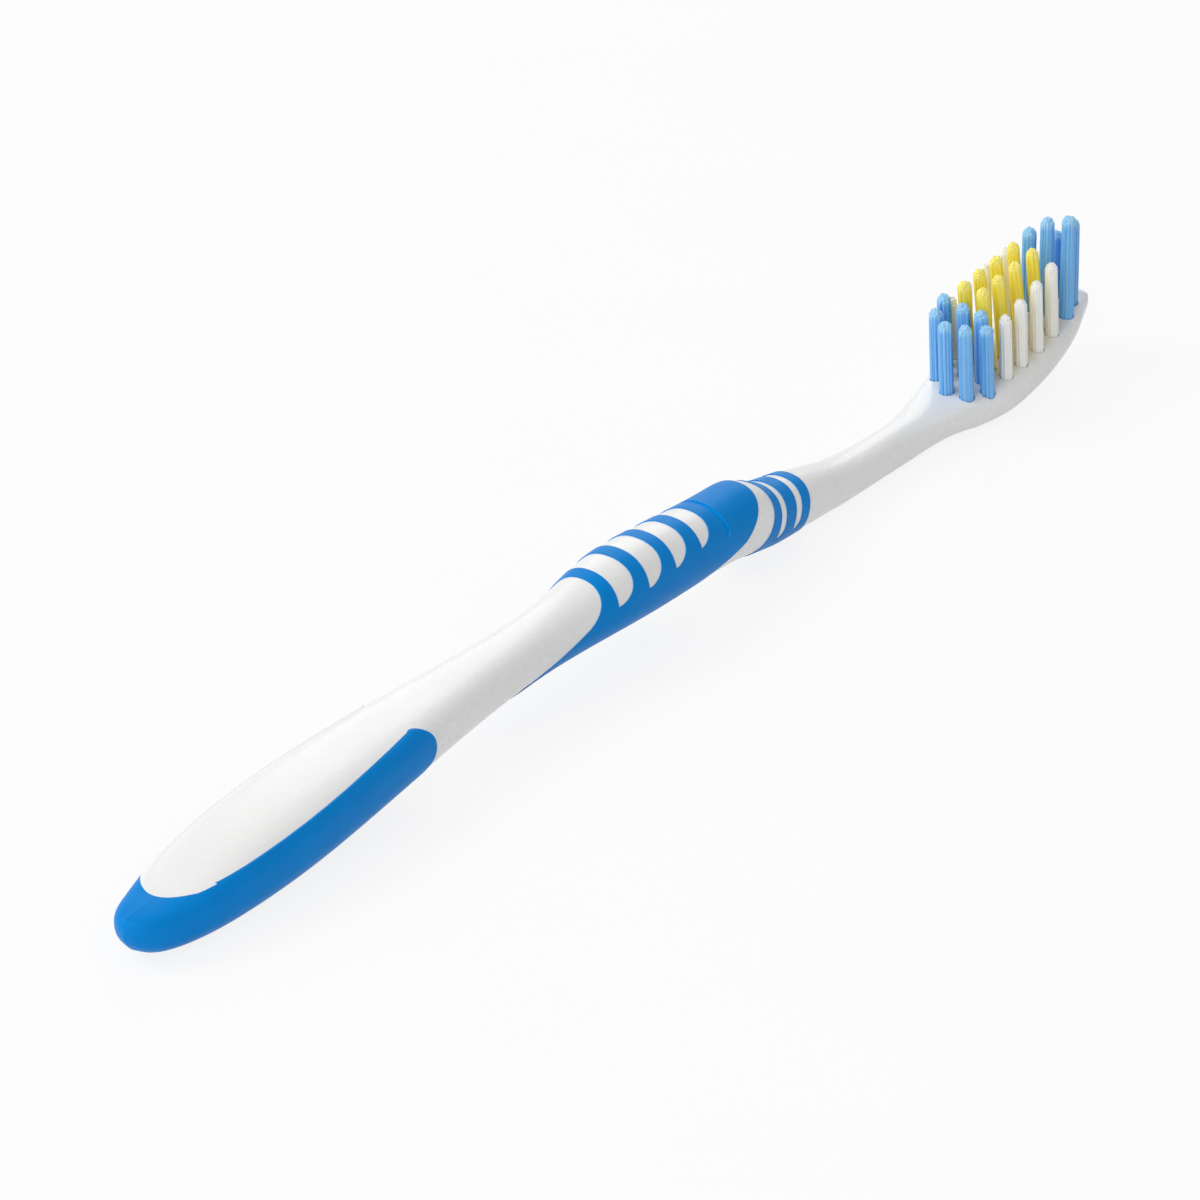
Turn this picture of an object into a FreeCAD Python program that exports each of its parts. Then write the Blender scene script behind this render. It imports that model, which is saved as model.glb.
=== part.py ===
import FreeCAD, Part
import math
import os

# Manual toothbrush lying on its back: +X runs from the tail to the toe, +Z is where the bristles point.
# Lengths are in millimetres and angles in degrees.

# Handle, measured along the brush from its tail end
overall_length = 193.0
handle_width = 13.0
handle_height = 13.4
section_points = 32

# Fullness of the sections: 2 is an ellipse, more is squarer
tail_fullness = 3.3
neck_fullness = 2.2
belly_fullness = 2.1
face_fullness = 3.6

# Head
head_length = 35.0
head_width = 13.4
head_thickness = 5.8
face_height = 5.2
face_rise = 6.0

# Soft plastic moulded over the core
grip_depth = 1.2
grip_stand = 0.12
thumb_groove_width = 0.7
thumb_groove_depth = 0.3

# Windows between the ribs of the thumb grip
window_width = 3.65
window_pitch = 5.63
window_rise = 0.22
window_round = 3.2
window_lean = 4.0

# Slots between the neck bands
slot_width = 1.5
slot_round = 1.2
slot_lean = 18.4

# Bristle tufts and the metal anchors that hold them
blue_tuft_diameter = 2.1
inner_tuft_diameter = 1.95
white_tuft_diameter = 1.9
tuft_height = 15.0
tuft_crown = 0.3
tuft_hole_depth = 2.3
inner_tuft_lean = -5.0
toe_tuft_lean = 4.0
fold_thickness = 0.45
anchor_height = 1.4
anchor_thickness = 0.3
anchor_bite = 0.2

# Resting flats on the underside, and how far cutting shapes run past what they cut
rest_depth = 0.2
overrun = 5.0

# Handle stations: place along the length, width, and top and underside above the lowest line
handle_station_shares = (
    (0.0020, 0.235, 0.443, 0.218),
    (0.0065, 0.395, 0.461, 0.141),
    (0.0140, 0.530, 0.475, 0.078),
    (0.0270, 0.667, 0.493, 0.037),
    (0.0480, 0.820, 0.558, 0.010),
    (0.0830, 0.942, 0.654, 0.000),
    (0.1350, 1.000, 0.740, 0.038),
    (0.1970, 0.925, 0.791, 0.122),
    (0.2590, 0.788, 0.812, 0.212),
    (0.3210, 0.643, 0.816, 0.281),
    (0.3730, 0.585, 0.829, 0.313),
    (0.4150, 0.626, 0.884, 0.304),
    (0.4560, 0.745, 0.988, 0.288),
    (0.4980, 0.760, 0.990, 0.260),
    (0.5470, 0.726, 0.936, 0.243),
    (0.5810, 0.716, 0.908, 0.205),
    (0.6030, 0.706, 0.874, 0.151),
    (0.6210, 0.670, 0.746, 0.112),
    (0.6420, 0.620, 0.673, 0.087),
    (0.6640, 0.582, 0.612, 0.067),
    (0.7040, 0.496, 0.471, 0.026),
    (0.7460, 0.437, 0.409, 0.006),
    (0.7860, 0.448, 0.400, 0.006),
)
crown_change_shares = (0.26, 0.41)

# Head stations: place along the head, width, thickness and how high up the widest line lies
head_station_shares = (
    (0.057, 0.620, 0.882, 0.61),
    (0.171, 0.790, 0.988, 0.52),
    (0.291, 0.955, 1.000, 0.49),
    (0.429, 1.000, 0.926, 0.49),
    (0.583, 0.957, 0.823, 0.54),
    (0.714, 0.846, 0.729, 0.60),
    (0.829, 0.676, 0.645, 0.66),
    (0.909, 0.512, 0.557, 0.70),
    (0.960, 0.405, 0.437, 0.73),
    (0.989, 0.290, 0.284, 0.75),
)
tail_tip_share = 0.326
toe_tip_share = 0.72
full_offset_width_share = 0.5

# Outline of the tail grip: places along the overall length and above the lowest line
tail_edge_start_shares = (0.0270, 0.500)
tail_edge_middle_shares = (0.1240, 0.648)
tail_edge_end_shares = (0.2350, 0.777)
tail_nose_shares = (0.2534, 0.620)
tail_nose_end_shares = (0.2477, 0.374)
tail_under_shares = (0.2150, 0.0)

# Outline of the thumb grip
thumb_rear_top_shares = (0.4337, 0.970)
thumb_rear_bend_shares = (0.4272, 0.766)
thumb_rear_side_shares = (0.4100, 0.605)
thumb_rear_run_shares = (0.3782, 0.465)
thumb_rear_under_shares = (0.3240, 0.280)
thumb_front_top_shares = (0.6021, 0.955)
thumb_front_bend_shares = (0.5938, 0.769)
thumb_front_side_shares = (0.5751, 0.530)
thumb_front_run_shares = (0.5518, 0.430)
thumb_front_under_shares = (0.4920, 0.224)
thumb_groove_tip_shares = (0.5560, 0.715)

# Windows: pointed end of the first one, and the widths of all
window_tip_shares = (0.4409, 0.706)
window_width_shares = (0.97, 1.00, 0.96, 0.87)

# Outline of the neck bands and places of the slots between them
band_rear_top_shares = (0.6145, 0.919)
band_rear_side_shares = (0.6052, 0.478)
band_rear_under_shares = (0.5870, 0.120)
band_front_top_shares = (0.6596, 0.732)
band_front_side_shares = (0.6531, 0.470)
band_front_under_shares = (0.6450, 0.075)
slot_tip_shares = ((0.6117, 0.299), (0.6311, 0.269))

# Tufts: place along the head, place across half the head and height
heel_tuft_shares = (
    (0.119, 0.00, 0.720),
    (0.185, 0.46, 0.705),
    (0.134, -0.42, 0.725),
    (0.252, 0.05, 0.735),
    (0.254, -0.36, 0.720),
    (0.268, 0.56, 0.740),
    (0.212, -0.63, 0.660),
)
white_tuft_along_shares = (0.335, 0.435, 0.552, 0.670)
white_tuft_across_shares = (0.64, 0.64, 0.61, 0.55)
white_tuft_height_shares = (0.615, 0.655, 0.693, 0.730)
inner_tuft_along_shares = (0.337, 0.440, 0.552, 0.666)
inner_tuft_across_share = 0.223
inner_tuft_height_share = 0.872
toe_tuft_shares = (
    (0.770, 0.39, 0.815),
    (0.806, -0.41, 1.000),
    (0.780, 0.00, 0.955),
    (0.900, 0.20, 0.660),
    (0.892, -0.22, 0.836),
)

head_start = overall_length - head_length


def spot(shares):
    """Point in the brush's middle plane, from its shares of the length and the height."""
    return FreeCAD.Vector(shares[0] * overall_length, 0, shares[1] * handle_height)


def face_level(along):
    """Height of the flat tuft face at a place along the brush."""
    return face_height + (along - head_start) * math.tan(math.radians(face_rise))


def crown_fullness(along):
    """Fullness of a section's upper half: squarer over the tail, rounder from the thumb grip on."""
    start, end = [share * overall_length for share in crown_change_shares]
    blend = min(max((along - start) / (end - start), 0), 1)
    return tail_fullness + (neck_fullness - tail_fullness) * blend


def handle_stations():
    """Place, half width, widest level, reach above and below it and crown fullness of each section."""
    rows = []
    for along, width, top, underside in handle_station_shares:
        place = along * overall_length
        upper = top * handle_height
        lower = underside * handle_height
        middle = (upper + lower) / 2
        rows.append((place, width * handle_width / 2, middle, upper - middle, middle - lower,
                     crown_fullness(place)))
    return rows


def head_stations():
    """The same values for the head, whose upper side follows the flat tuft face."""
    rows = []
    for along, width, thickness, widest in head_station_shares:
        place = head_start + along * head_length
        depth = thickness * head_thickness
        upper = face_level(place)
        middle = upper - depth * (1 - widest)
        fullness = neck_fullness + (face_fullness - neck_fullness) * width
        rows.append((place, width * head_width / 2, middle, upper - middle, depth * widest, fullness))
    return rows


def section(station, offset):
    """Points of a closed section square to the brush, moved outward by an offset."""
    along, half_width, middle, above, below, crown = station
    step = min(1, half_width / (full_offset_width_share * handle_width / 2)) * offset
    half_length = overall_length / 2
    place = half_length + (along - half_length) * (half_length + offset) / half_length
    points = []
    for number in range(section_points):
        angle = 2 * math.pi * number / section_points
        across = math.cos(angle)
        upward = math.sin(angle)
        reach, fullness = (above, crown) if upward > 0 else (below, belly_fullness)
        scale = (abs(across) ** fullness + abs(upward) ** fullness) ** (-1 / fullness)
        points.append(FreeCAD.Vector(place, across * scale * (half_width + step),
                                     middle + upward * scale * (reach + step)))
    return points


def section_poles(points):
    """Poles of the closed curve through a section's points; a section shrunk to one point keeps it."""
    if points[0] == points[1]:
        return points
    ring = Part.BSplineCurve()
    ring.interpolate(Points=points, PeriodicFlag=True, Parameters=range(section_points + 1))
    return ring.getPoles()


def mean_distance(before, after):
    return sum(first.distanceToPoint(second) for first, second in zip(before, after)) / section_points


def body(offset):
    """Smooth solid of handle, neck and head through all sections, with the handle moved outward."""
    toe_level = face_level(overall_length) - (1 - toe_tip_share) * head_thickness
    tail = FreeCAD.Vector(-offset, 0, tail_tip_share * handle_height)
    toe = FreeCAD.Vector(overall_length, 0, toe_level)
    sections = [[tail] * section_points]
    sections += [section(station, offset) for station in handle_stations()]
    sections += [section(station, 0) for station in head_stations()]
    sections.append([toe] * section_points)
    places = [0]
    for before, after in zip(sections, sections[1:]):
        places.append(places[-1] + mean_distance(before, after))
    rows = []
    for points in zip(*[section_poles(points) for points in sections]):
        run = Part.BSplineCurve()
        run.interpolate(Points=points, Parameters=places)
        rows.append(run.getPoles())
    skin = Part.BSplineSurface()
    skin.buildFromPolesMultsKnots(rows, [1] * (section_points + 1), run.getMultiplicities(),
                                  range(section_points + 1), run.getKnots(), True, False,
                                  run.Degree, run.Degree)
    return Part.Solid(Part.Shell([skin.toShape()]))


def across_prism(edges):
    """Solid with a side-view outline that reaches through the whole width."""
    reach = handle_width + overrun
    face = Part.Face(Part.Wire(Part.__sortEdges__(edges)))
    face.translate(FreeCAD.Vector(0, -reach, 0))
    return face.extrude(FreeCAD.Vector(0, 2 * reach, 0))


def line(start, end):
    return Part.LineSegment(start, end).toShape()


def bow(start, middle, end):
    return Part.Arc(start, middle, end).toShape()


def tail_region():
    """The tail grip's side view: below a rising edge that ends in a round nose."""
    start = spot(tail_edge_start_shares)
    crest = spot(tail_edge_end_shares)
    nose_end = spot(tail_nose_end_shares)
    under = spot(tail_under_shares)
    end_edge = FreeCAD.Vector(-overrun, 0, start.z)
    end_low = FreeCAD.Vector(-overrun, 0, -overrun)
    under_low = FreeCAD.Vector(under.x, 0, -overrun)
    return across_prism([
        line(end_edge, start),
        bow(start, spot(tail_edge_middle_shares), crest),
        bow(crest, spot(tail_nose_shares), nose_end),
        line(nose_end, under),
        line(under, under_low),
        line(under_low, end_low),
        line(end_low, end_edge),
    ])


def thumb_region():
    """The thumb grip's side view: both ends sweep back, so that the underside lies nearer to the tail."""
    rear_top = spot(thumb_rear_top_shares)
    rear_side = spot(thumb_rear_side_shares)
    rear_under = spot(thumb_rear_under_shares)
    front_top = spot(thumb_front_top_shares)
    front_side = spot(thumb_front_side_shares)
    front_under = spot(thumb_front_under_shares)
    ceiling = handle_height + overrun
    rear_high = FreeCAD.Vector(rear_top.x, 0, ceiling)
    front_high = FreeCAD.Vector(front_top.x, 0, ceiling)
    rear_low = FreeCAD.Vector(rear_under.x, 0, -overrun)
    front_low = FreeCAD.Vector(front_under.x, 0, -overrun)
    return across_prism([
        line(rear_high, rear_top),
        bow(rear_top, spot(thumb_rear_bend_shares), rear_side),
        bow(rear_side, spot(thumb_rear_run_shares), rear_under),
        line(rear_under, rear_low),
        line(rear_low, front_low),
        line(front_low, front_under),
        bow(front_under, spot(thumb_front_run_shares), front_side),
        bow(front_side, spot(thumb_front_bend_shares), front_top),
        line(front_top, front_high),
        line(front_high, rear_high),
    ])


def notch(tip, width, rounding, lean):
    """Cut from above between two leaning sides; its floor curves down and back to a point at the tip."""
    ceiling = handle_height + overrun
    drop = math.sqrt(1 / 2)
    slope = math.tan(math.radians(lean))

    def corner(forward, rise):
        return tip + FreeCAD.Vector(forward + rise * slope, 0, rise)

    rear_high = corner(0, ceiling)
    front_high = corner(width, ceiling)
    front_low = corner(width, rounding)
    bend = corner(width * drop, rounding * (1 - drop))
    return across_prism([
        line(tip, rear_high),
        line(rear_high, front_high),
        line(front_high, front_low),
        bow(front_low, bend, tip),
    ])


def windows():
    """The white windows between the ribs of the thumb grip, each a little higher than the one behind it."""
    first = spot(window_tip_shares)
    solids = []
    for number, share in enumerate(window_width_shares):
        tip = first + FreeCAD.Vector(number * window_pitch, 0, number * window_rise)
        solids.append(notch(tip, share * window_width, window_round, window_lean))
    return solids


def band_region():
    """The neck bands' side view: two slots from above leave three bands on a common spine."""
    rear_top = spot(band_rear_top_shares)
    rear_under = spot(band_rear_under_shares)
    front_top = spot(band_front_top_shares)
    front_under = spot(band_front_under_shares)
    ceiling = handle_height + overrun
    rear_high = FreeCAD.Vector(rear_top.x, 0, ceiling)
    front_high = FreeCAD.Vector(front_top.x, 0, ceiling)
    rear_low = FreeCAD.Vector(rear_under.x, 0, -overrun)
    front_low = FreeCAD.Vector(front_under.x, 0, -overrun)
    solid = across_prism([
        line(rear_high, rear_top),
        bow(rear_top, spot(band_rear_side_shares), rear_under),
        line(rear_under, rear_low),
        line(rear_low, front_low),
        line(front_low, front_under),
        bow(front_under, spot(band_front_side_shares), front_top),
        line(front_top, front_high),
        line(front_high, rear_high),
    ])
    slots = [notch(spot(shares), slot_width, slot_round, slot_lean) for shares in slot_tip_shares]
    return solid.cut(slots)


def thumb_groove():
    """Shallow groove over the top, between the last rib and the thumb pad, that ends on both sides."""
    strip = notch(spot(thumb_groove_tip_shares), thumb_groove_width, thumb_groove_width, 0)
    return strip.cut(body(grip_stand - thumb_groove_depth))


def below_rest_plane():
    """Everything under the plane that the brush lies on."""
    reach = overall_length + overrun
    block = Part.makeBox(2 * reach, 2 * reach, reach)
    block.translate(FreeCAD.Vector(-overrun, -reach, rest_depth - reach))
    return block


def seat(shape, along, across, lean):
    """Puts a shape that stands on the origin into its tuft hole."""
    tilt = lean - face_rise
    shape.translate(FreeCAD.Vector(0, 0, -tuft_hole_depth))
    shape.rotate(FreeCAD.Vector(0, 0, 0), FreeCAD.Vector(0, 1, 0), tilt)
    place = head_start + along * head_length
    shape.translate(FreeCAD.Vector(place, across * head_width / 2, face_level(place)))
    return shape


def tuft_blank(diameter, height):
    """Round bundle of bristles with a low crown, from the bottom of its hole to its free end."""
    radius = diameter / 2
    top = tuft_hole_depth + height
    ball = (radius ** 2 + tuft_crown ** 2) / (2 * tuft_crown)
    half_turn = math.asin(radius / ball) / 2
    foot = FreeCAD.Vector(0, 0, 0)
    foot_rim = FreeCAD.Vector(radius, 0, 0)
    crown_rim = FreeCAD.Vector(radius, 0, top - tuft_crown)
    crown_side = FreeCAD.Vector(ball * math.sin(half_turn), 0, top - ball + ball * math.cos(half_turn))
    crown_top = FreeCAD.Vector(0, 0, top)
    edges = [
        line(foot, foot_rim),
        line(foot_rim, crown_rim),
        bow(crown_rim, crown_side, crown_top),
        line(crown_top, foot),
    ]
    return Part.Face(Part.Wire(edges)).revolve(foot, FreeCAD.Vector(0, 0, 1), 360)


def anchor_plate(diameter):
    """Flat metal plate across a tuft's fold, with both ends in the wall of the hole."""
    length = diameter + 2 * anchor_bite
    plate = Part.makeBox(length, anchor_thickness, anchor_height)
    plate.translate(FreeCAD.Vector(-length / 2, -anchor_thickness / 2, fold_thickness))
    return plate


def tuft_list():
    """Name, place along, place across, height, diameter and lean of every tuft."""
    tufts = []
    for number, (along, across, height) in enumerate(heel_tuft_shares, 1):
        tufts.append((f"heel_tuft_{number}", along, across, height, blue_tuft_diameter, 0))
    number = 0
    for along, across, height in zip(white_tuft_along_shares, white_tuft_across_shares,
                                     white_tuft_height_shares):
        for side in (1, -1):
            number += 1
            tufts.append((f"outer_tuft_{number}", along, side * across, height, white_tuft_diameter, 0))
    number = 0
    for along in inner_tuft_along_shares:
        for side in (1, -1):
            number += 1
            tufts.append((f"inner_tuft_{number}", along, side * inner_tuft_across_share,
                          inner_tuft_height_share, inner_tuft_diameter, inner_tuft_lean))
    for number, (along, across, height) in enumerate(toe_tuft_shares, 1):
        tufts.append((f"toe_tuft_{number}", along, across, height, blue_tuft_diameter, toe_tuft_lean))
    return tufts


def build():
    """All pieces by name, with the brush's middle over the origin and its resting flats at level zero."""
    skin = body(grip_stand)
    floor = body(-grip_depth)
    under = below_rest_plane()
    regions = {
        "tail_grip": tail_region(),
        "thumb_grip": thumb_region().cut(windows()),
        "neck_bands": band_region(),
    }
    pieces = {}
    for name, region in regions.items():
        pieces[name] = region.common(skin).cut([floor, under])
    pieces["thumb_grip"] = pieces["thumb_grip"].cut(thumb_groove())
    pockets = [region.cut(floor) for region in regions.values()]
    blanks = []
    anchors = []
    for name, along, across, height, diameter, lean in tuft_list():
        blank = seat(tuft_blank(diameter, height * tuft_height), along, across, lean)
        anchor = seat(anchor_plate(diameter), along, across, lean)
        pieces[name] = blank.cut(anchor)
        blanks.append(blank)
        anchors.append(anchor)
    pieces["handle_core"] = body(0).cut(pockets + blanks + anchors + [under])
    pieces["tuft_anchors"] = Part.makeCompound(anchors)
    middle = (overall_length - grip_stand) / 2
    for piece in pieces.values():
        piece.translate(FreeCAD.Vector(-middle, 0, -rest_depth))
    return pieces


os.makedirs("parts", exist_ok=True)
for node, shape in build().items():
    shape.exportStep(f"parts/{node}.step")
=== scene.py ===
import math
import random

import bmesh
import bpy
from mathutils import Matrix, Vector


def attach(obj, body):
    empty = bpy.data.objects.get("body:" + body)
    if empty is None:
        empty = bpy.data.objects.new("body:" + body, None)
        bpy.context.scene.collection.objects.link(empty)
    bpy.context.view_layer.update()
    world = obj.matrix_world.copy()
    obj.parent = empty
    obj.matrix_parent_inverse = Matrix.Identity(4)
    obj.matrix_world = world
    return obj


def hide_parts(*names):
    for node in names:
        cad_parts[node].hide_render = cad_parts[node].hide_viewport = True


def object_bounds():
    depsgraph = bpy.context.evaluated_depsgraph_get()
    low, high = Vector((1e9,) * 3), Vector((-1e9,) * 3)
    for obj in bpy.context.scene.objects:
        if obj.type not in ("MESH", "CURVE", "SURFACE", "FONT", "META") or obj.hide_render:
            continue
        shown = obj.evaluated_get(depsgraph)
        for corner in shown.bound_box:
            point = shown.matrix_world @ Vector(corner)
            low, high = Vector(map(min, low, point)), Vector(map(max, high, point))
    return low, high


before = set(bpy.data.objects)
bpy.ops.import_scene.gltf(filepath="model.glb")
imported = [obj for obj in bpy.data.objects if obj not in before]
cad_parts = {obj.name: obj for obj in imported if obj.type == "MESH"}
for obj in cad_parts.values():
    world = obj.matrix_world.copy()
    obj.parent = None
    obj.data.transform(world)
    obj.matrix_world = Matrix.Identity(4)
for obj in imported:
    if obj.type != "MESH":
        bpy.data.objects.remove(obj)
cad_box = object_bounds()
tail_end = cad_box[0][0]

# Camera at the photograph's angle: metres, radians, and millimetres for the lens
camera_aim = Vector((-0.000565, 0.0, 0.00448))
camera_azimuth = math.radians(-53.3)
camera_elevation = math.radians(29.75)
camera_roll = math.radians(0.65)
camera_distance = 0.700
camera_lens = 170.6
camera_shift_x = -0.0353
camera_shift_y = -0.0037
camera_clip_start = 0.01

# Rise of the head's face towards the toe, and lean of the tufts from square to that face
face_rise = math.radians(6.0)
inner_tuft_lean = math.radians(-5.0)
toe_tuft_lean = math.radians(4.0)

# Bristle filaments: the area share is that of all filaments in the tuft's section, where they overlap
filament_count = 52
filament_sides = 7
filament_rings = 3
filament_area_share = 2.2
filament_length_spread = 0.00025
filament_tip_spread = 0.00006
filament_turn_spread = 0.15
filament_root_depth = 0.0012
tip_shoulder_place_share = 0.35
tip_shoulder_size_share = 0.76
# Share of a filament's length from which its tip is painted paler as a highlight
tip_highlight_start_share = 0.93
tuft_crown_drop = 0.00075
tuft_hole_depth = 0.0023

# Copies of the CAD solids
smooth_angle = math.radians(40.0)
weld_distance = 0.000002
anchor_length_share = 0.76

# Groove behind the thumb pad, where a paler highlight is painted
groove_place = tail_end + 0.10779
groove_half_width = 0.00036
groove_foot = 0.0093

# White panel on the tail: its round end, and the height and rise of its near and far edge
panel_tip = tail_end + 0.00547
panel_end = tail_end + 0.05657
panel_middle = 0.00055
panel_bend = 170.0
panel_near_height = 0.00645
panel_near_rise = 0.126
panel_far_height = 0.00577
panel_far_rise = 0.09

# Ridge round the tail's tip
ridge_end = tail_end + 0.00577
ridge_fade = 0.004
ridge_depth = 0.0001
ridge_reach = 0.0004

# Moulded grain
white_grain_depth = 0.00001
blue_grain_depth = 0.00002

# Colours: the darker and the lighter tone of each material, and for bristles the paler tone painted on their
# tips as a highlight
plain_white = (1.0, 1.0, 1.0, 1.0)
white_tones = ((0.850, 0.850, 0.843, 1.0), (0.868, 0.868, 0.862, 1.0))
blue_tones = ((0.0, 0.222, 0.645, 1.0), (0.0, 0.240, 0.685, 1.0))
# Paler blue painted into the groove behind the thumb pad as a highlight
groove_highlight_blue = (0.004, 0.35, 0.82, 1.0)
panel_white = (0.86, 0.86, 0.853, 1.0)
brass_tones = ((0.55, 0.38, 0.14, 1.0), (0.70, 0.50, 0.20, 1.0))
paper_tones = ((0.89, 0.89, 0.89, 1.0), (0.91, 0.91, 0.91, 1.0))
bristle_tones = {
    "blue_nylon": ((0.13, 0.44, 0.88, 1.0), (0.20, 0.52, 0.92, 1.0), (0.36, 0.68, 0.95, 1.0)),
    "white_nylon": ((0.93, 0.92, 0.87, 1.0), (0.96, 0.95, 0.91, 1.0), (0.97, 0.97, 0.95, 1.0)),
    "yellow_nylon": ((0.98, 0.78, 0.05, 1.0), (1.00, 0.86, 0.10, 1.0), (1.00, 0.90, 0.22, 1.0)),
}

# Studio
floor_half_size = 3.0
floor_drop = 0.00002
floor_white_share = 0.85
world_light = 0.48
light_aim = Vector((0.0, 0.0, 0.01))

# Soft boxes: name, place, side and power in watts
soft_boxes = (
    ("key_box", Vector((-0.45, 0.60, 0.70)), 0.5, 4.0),
    ("front_box", Vector((-0.85, -0.20, 0.55)), 0.6, 2.7),
    ("back_box", Vector((0.60, 0.45, 0.45)), 0.5, 1.2),
)


def socket_values(node, values):
    """Sets a node's input sockets by name."""
    for name, value in values.items():
        node.inputs[name].default_value = value
    return node


class Material:
    """A node material around one Principled shader."""

    def __init__(self, name, **values):
        self.material = bpy.data.materials.new(name)
        self.material.use_nodes = True
        self.tree = self.material.node_tree
        self.shader = self.tree.nodes["Principled BSDF"]
        socket_values(self.shader, values)
        self.surface = self.node("ShaderNodeNewGeometry")

    def node(self, kind, **values):
        """A new node with some of its input sockets set."""
        return socket_values(self.tree.nodes.new(kind), values)

    def link(self, source, target):
        """Leads a socket to another one."""
        self.tree.links.new(source, target)

    def noise(self, scale, detail=2.0, roughness=0.5):
        """Grey noise over the surface; scale is in repeats per metre."""
        node = self.node("ShaderNodeTexNoise", Scale=scale, Detail=detail, Roughness=roughness)
        self.link(self.surface.outputs["Position"], node.inputs["Vector"])
        return node.outputs["Fac"]

    def ramp(self, source, low, high, start=0.3, end=0.7):
        """Maps a grey value from start to end to two colours or two grey values."""
        node = self.tree.nodes.new("ShaderNodeValToRGB")
        for element, value in zip(node.color_ramp.elements, (low, high)):
            element.color = value if isinstance(value, tuple) else (value, value, value, 1.0)
        node.color_ramp.elements[0].position = start
        node.color_ramp.elements[1].position = end
        self.link(source, node.inputs["Fac"])
        return node.outputs["Color"]

    def reckon(self, operation, first, second=0.0):
        """Arithmetic on a socket and either another socket or a number."""
        node = self.node("ShaderNodeMath")
        node.operation = operation
        self.link(first, node.inputs[0])
        if isinstance(second, float):
            node.inputs[1].default_value = second
        else:
            self.link(second, node.inputs[1])
        return node.outputs["Value"]

    def blend(self, share, plain, other):
        """A colour that changes to another plain colour where the share is 1."""
        node = self.node("ShaderNodeMixRGB", Color2=other)
        self.link(share, node.inputs["Fac"])
        self.link(plain, node.inputs["Color1"])
        return node.outputs["Color"]

    def bump(self, height, depth, strength):
        """Fine relief."""
        node = self.node("ShaderNodeBump", Distance=depth, Strength=strength)
        self.link(height, node.inputs["Height"])
        self.link(node.outputs["Normal"], self.shader.inputs["Normal"])


def white_plastic():
    """Glossy white plastic with a faint moulding texture."""
    made = Material("white_plastic", IOR=1.49)
    made.link(made.ramp(made.noise(60.0), *white_tones), made.shader.inputs["Base Color"])
    made.link(made.ramp(made.noise(500.0), 0.24, 0.29), made.shader.inputs["Roughness"])
    made.bump(made.noise(2600.0), white_grain_depth, 0.03)
    return made.material


def groove_highlight_share(made, place):
    """1 in the groove behind the thumb pad, where a paler highlight is painted, and 0 elsewhere."""
    apart = made.reckon("ABSOLUTE", made.reckon("SUBTRACT", place.outputs["X"], groove_place))
    inside = made.reckon("LESS_THAN", apart, groove_half_width)
    return made.reckon("MULTIPLY", inside, made.reckon("GREATER_THAN", place.outputs["Z"], groove_foot))


def panel_share(made, place):
    """1 on the strip of the tail grip that the white panel covers, round its end and on its far edge."""
    ahead = made.reckon("SUBTRACT", place.outputs["X"], panel_tip)
    beside = made.reckon("SUBTRACT", place.outputs["Y"], panel_middle)
    rounding = made.reckon("MULTIPLY", made.reckon("MULTIPLY", beside, beside), panel_bend)
    past_end = made.reckon("GREATER_THAN", ahead, rounding)
    near_edge = made.reckon("ADD", made.reckon("MULTIPLY", ahead, panel_near_rise), panel_near_height)
    far_edge = made.reckon("ADD", made.reckon("MULTIPLY", ahead, panel_far_rise), panel_far_height)
    far_side = made.reckon("GREATER_THAN", place.outputs["Y"], 0.0)
    above_near = made.reckon("GREATER_THAN", place.outputs["Z"], near_edge)
    above_far = made.reckon("MULTIPLY", made.reckon("GREATER_THAN", place.outputs["Z"], far_edge), far_side)
    above = made.reckon("MAXIMUM", above_near, above_far)
    behind_waist = made.reckon("LESS_THAN", place.outputs["X"], panel_end)
    return made.reckon("MULTIPLY", made.reckon("MULTIPLY", past_end, above), behind_waist)


def blue_soft_plastic():
    """Satin blue soft plastic with a fine grain, a highlight painted paler in the groove, and white where the
    panel covers it.
    """
    made = Material("blue_soft_plastic", **{"IOR": 1.45, "Specular IOR Level": 0.1})
    place = made.node("ShaderNodeSeparateXYZ")
    made.link(made.surface.outputs["Position"], place.inputs["Vector"])
    colour = made.ramp(made.noise(160.0, 3.0), *blue_tones)
    # Painted highlight: paler blue in the groove behind the thumb pad
    colour = made.blend(groove_highlight_share(made, place), colour, groove_highlight_blue)
    colour = made.blend(panel_share(made, place), colour, panel_white)
    made.link(colour, made.shader.inputs["Base Color"])
    made.link(made.ramp(made.noise(900.0), 0.36, 0.44), made.shader.inputs["Roughness"])
    made.bump(made.noise(5200.0, 3.0), blue_grain_depth, 0.08)
    return made.material


def nylon(name, low, high, tip):
    """Bristle filaments, uneven in tone from one to the next, with a paler highlight painted on their tips.
    """
    made = Material(name, IOR=1.53)
    tone = made.ramp(made.surface.outputs["Random Per Island"], low, high)
    height = made.node("ShaderNodeAttribute")
    height.attribute_name = "height_share"
    # Painted highlight: the tips turn paler towards their ends
    painted_tip_highlight = made.ramp(height.outputs["Fac"], 0.0, 1.0, tip_highlight_start_share, 1.0)
    made.link(made.blend(painted_tip_highlight, tone, tip), made.shader.inputs["Base Color"])
    made.link(made.ramp(made.noise(1500.0), 0.28, 0.40), made.shader.inputs["Roughness"])
    return made.material


def brass():
    """Cut brass plate of the anchors."""
    made = Material("anchor_brass", Metallic=1.0)
    made.link(made.ramp(made.noise(1800.0), *brass_tones), made.shader.inputs["Base Color"])
    made.link(made.ramp(made.noise(3000.0), 0.25, 0.45), made.shader.inputs["Roughness"])
    return made.material


def welded_copy(node):
    """A copy of a CAD solid's mesh, and its form with the points joined where faces meet."""
    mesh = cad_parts[node].data.copy()
    form = bmesh.new()
    form.from_mesh(mesh)
    bmesh.ops.remove_doubles(form, verts=form.verts, dist=weld_distance)
    return mesh, form


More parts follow.
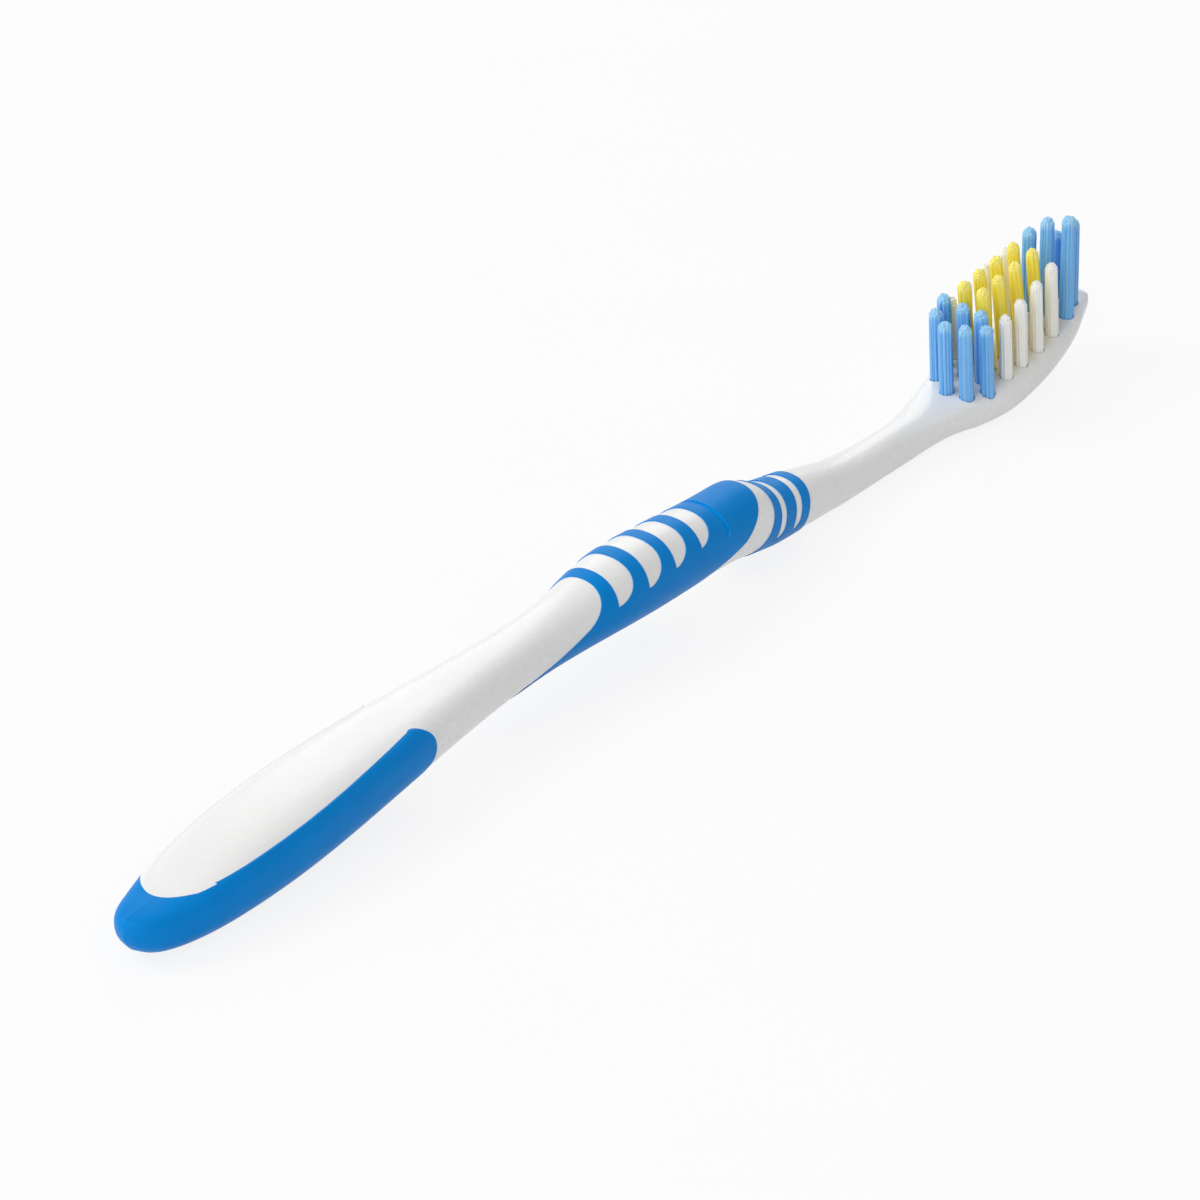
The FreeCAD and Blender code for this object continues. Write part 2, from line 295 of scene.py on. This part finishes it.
def show(name, node, mesh, form, material, slot):
    """Shows a finished form as a piece in the place of its CAD node."""
    form.to_mesh(mesh)
    form.free()
    mesh.materials.clear()
    mesh.materials.append(material)
    piece = bpy.data.objects.new(name, mesh)
    bpy.context.scene.collection.objects.link(piece)
    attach(piece, "root")
    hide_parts(node)


def raise_ridge(form):
    """Lowers the tail's end on both sides of the middle plane, and returns the ridge's edges between them."""
    everything = form.verts[:] + form.edges[:] + form.faces[:]
    cut = bmesh.ops.bisect_plane(
        form, geom=everything, dist=weld_distance, plane_co=(0.0, 0.0, 0.0), plane_no=(0.0, 1.0, 0.0))
    form.normal_update()
    drops = []
    for vert in form.verts:
        fading = min(1.0, max(0.0, (ridge_end - vert.co.x) / ridge_fade))
        aside = 1.0 - math.exp(-abs(vert.co.y) / ridge_reach)
        drops.append(vert.normal * (ridge_depth * fading * aside))
    for vert, drop in zip(form.verts, drops):
        vert.co -= drop
    edges = [item for item in cut["geom_cut"] if isinstance(item, bmesh.types.BMEdge)]
    return [edge for edge in edges if max(vert.co.x for vert in edge.verts) < ridge_end]


def dress_solid(node, material, slot):
    """A smooth-shaded copy of a CAD solid, with its edges kept sharp."""
    mesh, form = welded_copy(node)
    ridge = raise_ridge(form) if node == "tail_grip" else []
    for face in form.faces:
        face.smooth = True
    for edge in form.edges:
        edge.smooth = edge.is_manifold and edge.calc_face_angle() < smooth_angle
    for edge in ridge:
        edge.smooth = False
    show(node + "_surface", node, mesh, form, material, slot)


def plates(form):
    """The separate plates of a form, each as a list of its points."""
    left = set(form.verts)
    while left:
        plate = []
        waiting = [left.pop()]
        while waiting:
            point = waiting.pop()
            plate.append(point)
            beside = {edge.other_vert(point) for edge in point.link_edges} & left
            left -= beside
            waiting.extend(beside)
        yield plate


def dress_anchors():
    """The anchor plates without the ends that bite into the plastic, so that none shows beside its tuft."""
    mesh, form = welded_copy("tuft_anchors")
    for plate in plates(form):
        middle = sum(point.co.y for point in plate) / len(plate)
        for point in plate:
            point.co.y = middle + (point.co.y - middle) * anchor_length_share
    show("tuft_anchor_plates", "tuft_anchors", mesh, form, brass(), "anchor_brass")


def tuft_frame(node, tilt):
    """Foot, direction, sideways direction, radius and length of a tuft, read from its CAD solid."""
    direction = Vector((math.sin(tilt), 0.0, math.cos(tilt)))
    side = Vector((math.cos(tilt), 0.0, -math.sin(tilt)))
    points = [vertex.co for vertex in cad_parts[node].data.vertices]
    along = [point.dot(direction) for point in points]
    aside = [point.dot(side) for point in points]
    across = [point.y for point in points]
    middle = side * ((min(aside) + max(aside)) / 2)
    foot = middle + Vector((0.0, (min(across) + max(across)) / 2, 0.0)) + direction * min(along)
    return foot, direction, side, (max(across) - min(across)) / 2, max(along) - min(along)


def filament_rows(length, radius):
    """Place along a filament and radius there, from its root to its rounded tip."""
    rows = [(length * ring / filament_rings, radius) for ring in range(filament_rings)]
    shoulder = (length - radius * tip_shoulder_place_share, radius * tip_shoulder_size_share)
    return rows + [(length - radius, radius), shoulder, (length, 0.0)]


def add_filament(form, height_share, start, axes, length, thin, sway):
    """One filament, which bends aside by its sway up to its tip."""
    direction, side, lateral = axes
    rings = []
    for place, size in filament_rows(length, thin):
        middle = start + direction * place + sway * (place / length) ** 2
        ring = []
        for corner in range(filament_sides if size else 1):
            angle = 2.0 * math.pi * corner / filament_sides
            point = form.verts.new(middle + (side * math.cos(angle) + lateral * math.sin(angle)) * size)
            point[height_share] = place / length
            ring.append(point)
        rings.append(ring)
    for low, high in zip(rings, rings[1:]):
        for corner in range(filament_sides):
            after = (corner + 1) % filament_sides
            if len(high) == 1:
                form.faces.new((low[corner], low[after], high[0]))
            else:
                form.faces.new((low[corner], low[after], high[after], high[corner]))


def bundle(node, tilt, material, slot, seed):
    """A tuft of single filaments in the place of its plain CAD rod."""
    chance = random.Random(seed)
    foot, direction, side, radius, height = tuft_frame(node, tilt)
    lateral = direction.cross(side)
    thin = radius * math.sqrt(filament_area_share / filament_count)
    root = tuft_hole_depth - filament_root_depth
    golden_turn = math.pi * (3.0 - math.sqrt(5.0))
    form = bmesh.new()
    height_share = form.verts.layers.float.new("height_share")
    for number in range(filament_count):
        share = math.sqrt((number + 0.5) / filament_count)
        turn = number * golden_turn + chance.uniform(-filament_turn_spread, filament_turn_spread)
        outward = side * math.cos(turn) + lateral * math.sin(turn)
        start = foot + direction * root + outward * (share * (radius - thin))
        drop = tuft_crown_drop * share ** 3 + chance.uniform(0.0, filament_length_spread)
        sway = (side * chance.uniform(-1.0, 1.0) + lateral * chance.uniform(-1.0, 1.0)) * filament_tip_spread
        sway -= outward * filament_tip_spread * share
        add_filament(form, height_share, start, (direction, side, lateral), height - root - drop, thin, sway)
    for face in form.faces:
        face.smooth = True
    bmesh.ops.recalc_face_normals(form, faces=form.faces)
    name = node + "_filaments"
    show(name, node, bpy.data.meshes.new(name), form, material, slot)


def make_tufts():
    """All tufts, by their colour and lean."""
    bristles = {slot: nylon(slot, *tones) for slot, tones in bristle_tones.items()}
    looks = {
        "heel_tuft": ("blue_nylon", 0.0),
        "outer_tuft": ("white_nylon", 0.0),
        "inner_tuft": ("yellow_nylon", inner_tuft_lean),
        "toe_tuft": ("blue_nylon", toe_tuft_lean),
    }
    tufts = [name for name in sorted(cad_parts) if name.rsplit("_", 1)[0] in looks]
    for seed, name in enumerate(tufts):
        slot, lean = looks[name.rsplit("_", 1)[0]]
        bundle(name, lean - face_rise, bristles[slot], slot, seed)


def make_camera():
    """Camera that looks from the tail's side, as in the photograph."""
    level = math.cos(camera_elevation)
    back = Vector((
        math.sin(camera_azimuth) * level,
        -math.cos(camera_azimuth) * level,
        math.sin(camera_elevation),
    ))
    flat_right = Vector((math.cos(camera_azimuth), math.sin(camera_azimuth), 0.0))
    flat_up = back.cross(flat_right)
    right = flat_right * math.cos(camera_roll) + flat_up * math.sin(camera_roll)
    up = back.cross(right)
    data = bpy.data.cameras.new("photo_camera")
    data.lens = camera_lens
    data.shift_x = camera_shift_x
    data.shift_y = camera_shift_y
    data.clip_start = camera_clip_start
    camera = bpy.data.objects.new("photo_camera", data)
    place = camera_aim + back * camera_distance
    camera.matrix_world = Matrix((
        (right.x, up.x, back.x, place.x),
        (right.y, up.y, back.y, place.y),
        (right.z, up.z, back.z, place.z),
        (0.0, 0.0, 0.0, 1.0),
    ))
    bpy.context.scene.collection.objects.link(camera)
    bpy.context.scene.camera = camera


def make_light(name, place, side, power):
    """Square soft box that points at the brush."""
    data = bpy.data.lights.new(name, "AREA")
    data.shape = "SQUARE"
    data.size = side
    data.energy = power
    light = bpy.data.objects.new(name, data)
    light.location = place
    light.rotation_mode = "QUATERNION"
    light.rotation_quaternion = (light_aim - place).to_track_quat("-Z", "Y")
    bpy.context.scene.collection.objects.link(light)


def seen_directly(tree):
    """Socket that is 1 for rays that show the surroundings: direct, mirrored or through clear material."""
    path = tree.nodes.new("ShaderNodeLightPath")
    total = path.outputs["Is Camera Ray"]
    for kind in ("Is Glossy Ray", "Is Transmission Ray"):
        joined = tree.nodes.new("ShaderNodeMath")
        joined.operation = "ADD"
        joined.use_clamp = True
        tree.links.new(total, joined.inputs[0])
        tree.links.new(path.outputs[kind], joined.inputs[1])
        total = joined.outputs["Value"]
    return total


def mix_in(tree, share, plain, seen, output):
    """Joins the shader that lights with the one that is seen, and leads both to the output."""
    mixed = tree.nodes.new("ShaderNodeMixShader")
    tree.links.new(share, mixed.inputs[0])
    tree.links.new(plain, mixed.inputs[1])
    tree.links.new(seen, mixed.inputs[2])
    tree.links.new(mixed.outputs["Shader"], tree.nodes[output].inputs["Surface"])


def floor_material():
    """White paper that keeps a soft share of the shadow."""
    made = Material("white_floor", Roughness=0.9)
    made.link(made.ramp(made.noise(40.0), *paper_tones), made.shader.inputs["Base Color"])
    share = made.reckon("MULTIPLY", seen_directly(made.tree), floor_white_share)
    sheet = made.node("ShaderNodeEmission", Strength=1.0)
    mix_in(made.tree, share, made.shader.outputs["BSDF"], sheet.outputs["Emission"], "Material Output")
    return made.material


def make_floor():
    """Large sheet just below the brush."""
    far = floor_half_size
    corners = [(x, y, -floor_drop) for x, y in ((-far, -far), (far, -far), (far, far), (-far, far))]
    mesh = bpy.data.meshes.new("floor")
    mesh.from_pydata(corners, [], [(0, 1, 2, 3)])
    mesh.materials.append(floor_material())
    floor = bpy.data.objects.new("floor", mesh)
    bpy.context.scene.collection.objects.link(floor)


def make_surroundings():
    """White all round: dimmer where it lights the brush, and full where it is seen."""
    world = bpy.data.worlds.new("studio")
    world.use_nodes = True
    tree = world.node_tree
    lit = socket_values(tree.nodes["Background"], {"Color": plain_white, "Strength": world_light})
    seen = socket_values(tree.nodes.new("ShaderNodeBackground"), {"Color": plain_white, "Strength": 1.0})
    mix_in(tree, seen_directly(tree), lit.outputs["Background"], seen.outputs["Background"], "World Output")
    bpy.context.scene.world = world


white = white_plastic()
blue = blue_soft_plastic()
dress_solid("handle_core", white, "white_plastic")
for grip in ("tail_grip", "thumb_grip", "neck_bands"):
    dress_solid(grip, blue, "blue_soft_plastic")
make_tufts()
dress_anchors()
make_camera()
make_floor()
make_surroundings()
for box in soft_boxes:
    make_light(*box)
bpy.context.scene.view_settings.view_transform = "Standard"
